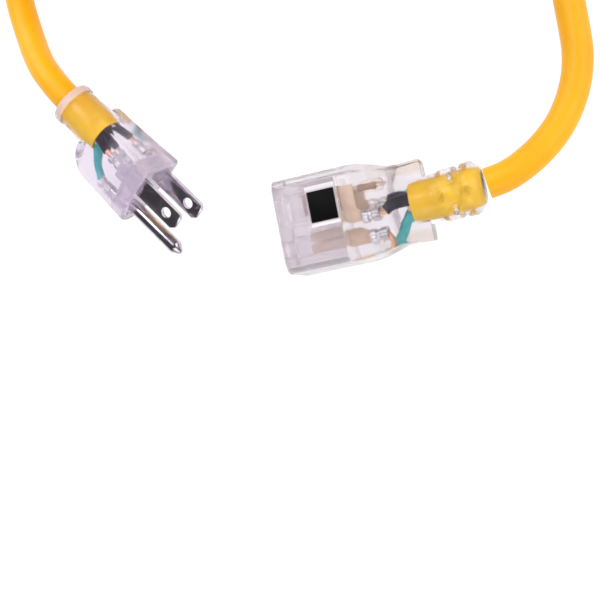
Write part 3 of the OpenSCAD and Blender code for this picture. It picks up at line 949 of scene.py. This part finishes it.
def make_plug():
    """Every piece of the plug, as a list."""
    pieces = [make_plug_body(), make_plug_carrier(), make_ground_pin()]
    for side, live in ((1, "line"), (-1, "neutral")):
        pieces.append(make_blade(f"{live}_prong", side, f"plug_{live}_blade"))
    for live, at, slot, bare_from, crimp_at in (
        ("line", LINE, "black_insulation", 5, (0, 4.6)),
        ("neutral", NEUTRAL, "neutral_insulation", 5, (0, -4.6)),
        ("ground", GROUND, "green_insulation", 6, (PIN_Y, 0)),
    ):
        name, path = f"plug_{live}", plug_path(at)
        pieces += make_core(name, name, path, bare_from, crimp_at, PLUG_PLACE, "plug", slot)
    pieces.append(make_jacket_end("plug_jacket", 0.4, 17, PLUG_PLACE, "plug", "plug_jacket_end"))
    pieces.append(make_fillers("plug_strands", 0.6, 17.8, PLUG_PLACE, "plug", "plug_fillers"))
    return pieces


# ---------- connector ----------

def block_ring(x, w, t, r_blade, r_ground):
    """A rounded rectangle at x; its ground side, at -Y, has the larger corners."""
    a, b = min(r_blade, t - 0.3, w - 0.3), min(r_ground, t - 0.3, w - 0.3)
    ring = []
    for cy, cz, r, first in ((1, 1, a, 0), (-1, 1, b, 90), (-1, -1, b, 180), (1, -1, a, 270)):
        for k in range(9):
            angle = math.radians(first + 11.25 * k)
            ring.append((x, cy * (w - r) + r * math.cos(angle), cz * (t - r) + r * math.sin(angle)))
    return ring


def make_connector_body():
    """The moulded connector: a square block, two flat finger wings and a ribbed strain relief."""
    width_at = [
        (0, 13.6), (0.25, 14.15), (0.8, 14.5), (24, 14.45), (26, 14.25), (28, 14.0), (30, 13.6),
        (32, 13.1), (34, 12.4), (35.5, 12.05), (37.5, 12.1), (40, 12.2), (43, 12.45),
        (44.6, 12.5), (44.9, 12.35), (45, 12.1),
    ]
    thick_at = [
        (0, 11.7), (0.25, 12.2), (0.8, 12.5), (24, 12.5), (26, 12.3), (28, 11.7), (30, 10.7),
        (32, 9.3), (34, 7.4), (35.5, 6.2), (37.5, 5.2), (40, 4.6), (43, 4.3), (44.6, 4.2),
        (44.9, 4.0), (45, 3.8),
    ]
    stations = sorted({x for x, _ in width_at} | {4, 8, 12, 16, 20, 27, 29, 31, 33, 36.5})
    rings = []
    for x in stations:
        flat = smooth_step((x - 30) / 5)
        rings.append(block_ring(x, between(x, width_at), between(x, thick_at),
                                2.4 - 1.4 * flat, 3.6 - 2.6 * flat))
    body = loft("connector_moulding", rings, sharp=50)
    barrel = turned("barrel", [
        (27, 1), (27.5, 6.0), (29, 7.4), (33, 7.8), (44, 7.8), (45.3, 7.6), (46, 7.3), (48.8, 7.3),
        (49.4, 7.7), (50, 7.95), (54.6, 7.95), (55.2, 7.6), (55.7, 7.35), (56.2, 7.6), (56.7, 8.1),
        (57.3, 8.2), (59.3, 8.2), (60, 7.9), (62.1, 5.9), (62.5, 5.3), (62.5, 4.9),
    ], 64, sharp=50)
    windows = []
    for x, shift in ((49.9, 8), (53.4, 52), (57.8, 8)):
        for k in range(4):
            window = box("window", (-0.75, -1.5, 5.1), (0.75, 1.5, 10), bevel=0.6, segments=3)
            turn = Matrix.Rotation(math.radians(90 * k + shift), 4, "X")
            window.data.transform(Matrix.Translation((x, 0, 0)) @ turn)
            windows.append(window)
    combine(barrel, windows, "DIFFERENCE", 50)
    combine(body, [barrel], "UNION", 50)
    for v in body.data.vertices:
        v.co = bent(v.co)
    holder = box("holder", (-1, -12.35, -10.25), (19.6, 12.35, 10.25), bevel=0.5)
    recess = loft("recess", [
        [(9.9, -4.6, 14), (20.8, -4.6, 14), (20.8, 13.2, 14), (9.9, 13.2, 14)],
        [(10.6, -0.9, 11.7), (19.4, -0.9, 11.7), (19.4, 8.9, 11.7), (10.6, 8.9, 11.7)],
    ])
    combine(body, [holder, recess], "DIFFERENCE", 50)
    return settle(body, "clear_vinyl", "connector", "connector_body", place=CONNECTOR_PLACE)


def make_connector_carrier():
    """The block that holds the contacts, with the two slots and the round hole in its face."""
    carrier = box("connector_carrier", (0, -12.3, -10.2), (19.5, 12.3, 10.2), bevel=0.6)
    hollows = []
    for side in (-1, 1):
        mid = side * BLADE_SPACING / 2
        hollows.append(box("pocket", (2, 1, mid - 2.1), (20, 10.2, mid + 2.1), bevel=0.4))
        hollows.append(box("slot", (-1, 1.9, mid - 1), (3, 9.3, mid + 1), bevel=0.25))
    bore = [(-1, 2.9), (0, 2.9), (0.7, 2.6), (2.5, 2.6), (2.5, 3.55), (20, 3.55)]
    socket = turned("socket", bore, 40)
    socket.data.transform(Matrix.Translation((0, SOCKET_Y, 0)))
    hollows.append(socket)
    combine(carrier, hollows, "DIFFERENCE", 45)
    return settle(
        carrier, "carrier_plastic", "connector", "connector_insert", place=CONNECTOR_PLACE,
    )


def make_leaf_contact(name, side, reach, node):
    """Two sprung leaves that grip a blade, joined behind it, with a tail to the crimp."""
    mid = side * BLADE_SPACING / 2
    gap_at = ((8.4, 1.5), (9.4, 0.95), (10.8, 0.72), (13, 0.72), (15, 0.95), (17, 1.05),
              (20.3, 1.05))
    parts = []
    for face in (-1, 1):
        rings = []
        for x, gap in gap_at:
            inner, outer = mid + face * gap, mid + face * (gap + 0.55)
            rings.append([(x, 2.1, inner), (x, 9.1, inner), (x, 9.1, outer), (x, 2.1, outer)])
        leaf = loft("leaf", rings, sharp=30)
        parts.append(bevelled(leaf, 0.12, 2, 40))
    parts.append(box("bridge", (19.7, 2.1, mid - 1.6), (20.3, 9.1, mid + 1.6), bevel=0.15))
    z = mid - side * 1.25
    outline = [(19.7, reach + 1), (22, reach), (25, reach), (25, reach + 3.3), (23.8, reach + 4.2),
               (23.8, 9.0), (19.7, 9.0)]
    parts.append(plate("tail", outline, z - 0.3, z + 0.3, bevel=0.1))
    contact = joined(name, parts)
    return settle(contact, "contact_brass", "connector", node, place=CONNECTOR_PLACE)


def make_ground_contact():
    """A rolled sleeve with a slit along it, and a tail to the crimp."""
    sides = 44
    open_half = 0.16
    rings = []
    for x, grow in ((7.6, 0.35), (8.2, 0.15), (9.2, 0.0), (12, 0.0), (12.3, -0.12), (13.4, -0.12),
                    (13.7, 0.0), (18.8, 0.0)):
        ring = []
        for r, order in ((3.45, range(sides)), (2.62, range(sides - 1, -1, -1))):
            for k in order:
                a = math.pi / 2 + open_half + (TAU - 2 * open_half) * k / (sides - 1)
                far = r + grow * 0.3
                ring.append((x, SOCKET_Y + far * math.cos(a), far * math.sin(a)))
        rings.append(ring)
    sleeve = loft("sleeve", rings)
    outline = [(18.4, -9.4), (25, -9.4), (25, -5.6), (23, -4.1), (18.4, -4.1)]
    tail = plate("tail", outline, -0.4, 0.4, bevel=0.12)
    contact = joined("ground_sleeve", [sleeve, tail])
    return settle(contact, "contact_brass", "connector", "ground_contact", place=CONNECTOR_PLACE)


def connector_path(at):
    """Where a wire runs in the connector, from the cord to its crimp."""
    start = [(62, *at), (46, *at), (40.4, *at)]
    if at == GROUND:
        return start + [(37.8, -4.4, 0.3), (35.4, -8.4, 0.5), (33.0, -10.9, 0.5), (31, -9.6, 0.3),
                        (29.5, -7.7, 0), (25.5, -7.5, 0)]
    if at == LINE:
        return start + [(37, 0.8, 3.0), (33.8, 0.3, 3.9), (31.6, -1.0, 4.4), (30, -1.5, 4.4),
                        (25.5, -1.5, 4.4)]
    return start + [(37, 1.7, -3.0), (33.8, 2.1, -3.9), (31.6, 2, -4.4), (30, 2, -4.4),
                    (25.5, 2, -4.4)]


def make_lamp():
    """A small glass lamp."""
    profile = [(24, 0.6), (24.1, 1.4), (24.6, 1.9), (25.4, 2), (29, 2), (30, 1.7), (30.6, 1.1),
               (30.9, 0.5), (31, 0.15)]
    bulb = turned("neon_lamp", profile, 32)
    at = CONNECTOR_PLACE @ Matrix.Translation((0, 8, -2.6))
    return settle(bulb, "lamp_glass", "connector", "power_lamp", place=at)


def make_resistor():
    """An axial resistor, with a waisted body."""
    profile = [(24.5, 0.5), (24.6, 0.95), (24.95, 1.2), (25.6, 1.2), (25.9, 1.0), (28.1, 1.0),
               (28.4, 1.2), (29.1, 1.2), (29.4, 0.95), (29.5, 0.5)]
    body = turned("lamp_dropper", profile, 28)
    at = CONNECTOR_PLACE @ Matrix.Translation((0, 7.4, 2.4))
    return settle(body, "resistor_body", "connector", "lamp_resistor", place=at)


def make_lamp_leads():
    """From the line contact to the resistor, on to the lamp, and to the neutral contact."""
    routes = [
        [(24.6, 7.4, 2.4), (23.4, 7.4, 2.5), (22.5, 7.1, 3.2), (22, 6.5, 4.6)],
        [(29.4, 7.4, 2.4), (30.8, 7.3, 2.1), (31.7, 7.3, 0.6), (31.9, 7.6, -1.2),
         (31.5, 7.9, -2.4), (30.4, 8, -2.6), (27, 8.5, -2.6)],
        [(27.5, 7.5, -2.6), (23.9, 8, -2.6), (22.8, 7.8, -3.0), (22, 7, -4.5)],
    ]
    parts = [tube("lead", smooth_route(route, 0.3), 0.36, 10) for route in routes]
    leads = joined("lamp_wires", parts)
    return settle(leads, "lead_wire", "connector", "lamp_leads", place=CONNECTOR_PLACE)


def make_marker():
    """The blank black plate in its recess."""
    marker = box("blank_marker", (10.8, -0.7, 11.75), (19.2, 8.7, 12.2), bevel=0.12)
    return settle(marker, "black_plate", "connector", "marker_plate", place=CONNECTOR_PLACE)


def make_connector():
    """Every piece of the connector."""
    place, body = CONNECTOR_PLACE, "connector"
    make_connector_body()
    make_connector_carrier()
    make_leaf_contact("line_grip", 1, -2.8, "line_contact")
    make_leaf_contact("neutral_grip", -1, 0.2, "neutral_contact")
    make_ground_contact()
    for live, at, slot, crimp_at in (
        ("line", LINE, "black_insulation", (-1.5, 4.4)),
        ("neutral", NEUTRAL, "neutral_insulation", (2, -4.4)),
        ("ground", GROUND, "green_insulation", (-7.5, 0)),
    ):
        make_core(live, f"connector_{live}", connector_path(at), 6, crimp_at, place, body, slot)
    make_jacket_end("connector_jacket", 39.8, 62.3, place, body, "connector_jacket_end", bent)
    make_fillers("connector_strands", 38.8, 61.5, place, body, "connector_fillers")
    make_lamp()
    make_resistor()
    make_lamp_leads()
    make_marker()


# ---------- studio ----------

def make_floor():
    """A pale floor, just under the part."""
    half = 4
    corners = [(-half, -half, 0), (half, -half, 0), (half, half, 0), (-half, half, 0)]
    mesh = bpy.data.meshes.new("floor")
    mesh.from_pydata(corners, [], [(0, 1, 2, 3)])
    floor = bpy.data.objects.new("floor", mesh)
    floor.location.z = -0.0002
    bpy.context.scene.collection.objects.link(floor)
    material, _, _ = new_material(
        "floor", Base_Color=(0.1, 0.1, 0.1, 1), Roughness=0.9, Specular_IOR_Level=0.0,
        Emission_Color=(1, 1, 1, 1), Emission_Strength=0.97,
    )
    mesh.materials.append(material)


def make_light(name, at, size, power):
    """A soft light that faces the part."""
    data = bpy.data.lights.new(name, "AREA")
    data.shape = "RECTANGLE"
    data.size, data.size_y = size
    data.energy = power
    light = bpy.data.objects.new(name, data)
    at = Vector(at)
    aim = Vector((-0.01, 0.05, 0.01)) - at
    light.matrix_world = Matrix.Translation(at) @ aim.to_track_quat("-Z", "Y").to_matrix().to_4x4()
    bpy.context.scene.collection.objects.link(light)


def make_studio():
    """A white sky, which is dimmer as a light and dark in reflections, four soft lights and the
    floor."""
    world = bpy.data.worlds.new("studio")
    bpy.context.scene.world = world
    world.use_nodes = True
    tree = world.node_tree
    sky = tree.nodes["Background"]
    sky.inputs["Color"].default_value = (1, 0.985, 1, 1)
    rays = tree.nodes.new("ShaderNodeLightPath")
    seen, through = rays.outputs["Is Camera Ray"], rays.outputs["Is Transmission Ray"]
    direct = math_node(tree, "MAXIMUM", seen, through)
    glossy = tree.nodes.new("ShaderNodeMix")
    glossy.inputs["A"].default_value = 0.5
    glossy.inputs["B"].default_value = 0.08
    tree.links.new(rays.outputs["Is Glossy Ray"], glossy.inputs["Factor"])
    strength = tree.nodes.new("ShaderNodeMix")
    strength.inputs["B"].default_value = 1.0
    tree.links.new(direct, strength.inputs["Factor"])
    tree.links.new(glossy.outputs["Result"], strength.inputs["A"])
    tree.links.new(strength.outputs["Result"], sky.inputs["Strength"])
    make_light("left", (-0.5, 0.8, 0.6), (0.9, 0.7), 5.5)
    make_light("right", (0.85, 0.1, 0.55), (0.9, 0.7), 3.8)
    make_light("near", (0.1, -0.95, 0.6), (1.0, 0.7), 3.4)
    make_light("top", (-0.12, 0.26, 0.78), (0.4, 0.3), 1.5)
    make_floor()
    bpy.context.scene.view_settings.view_transform = "Standard"


make_camera()
plug_cord, plug_line, connector_cord, connector_line = make_cords()
make_tie()
on_plug = make_plug()
make_connector()
make_studio()
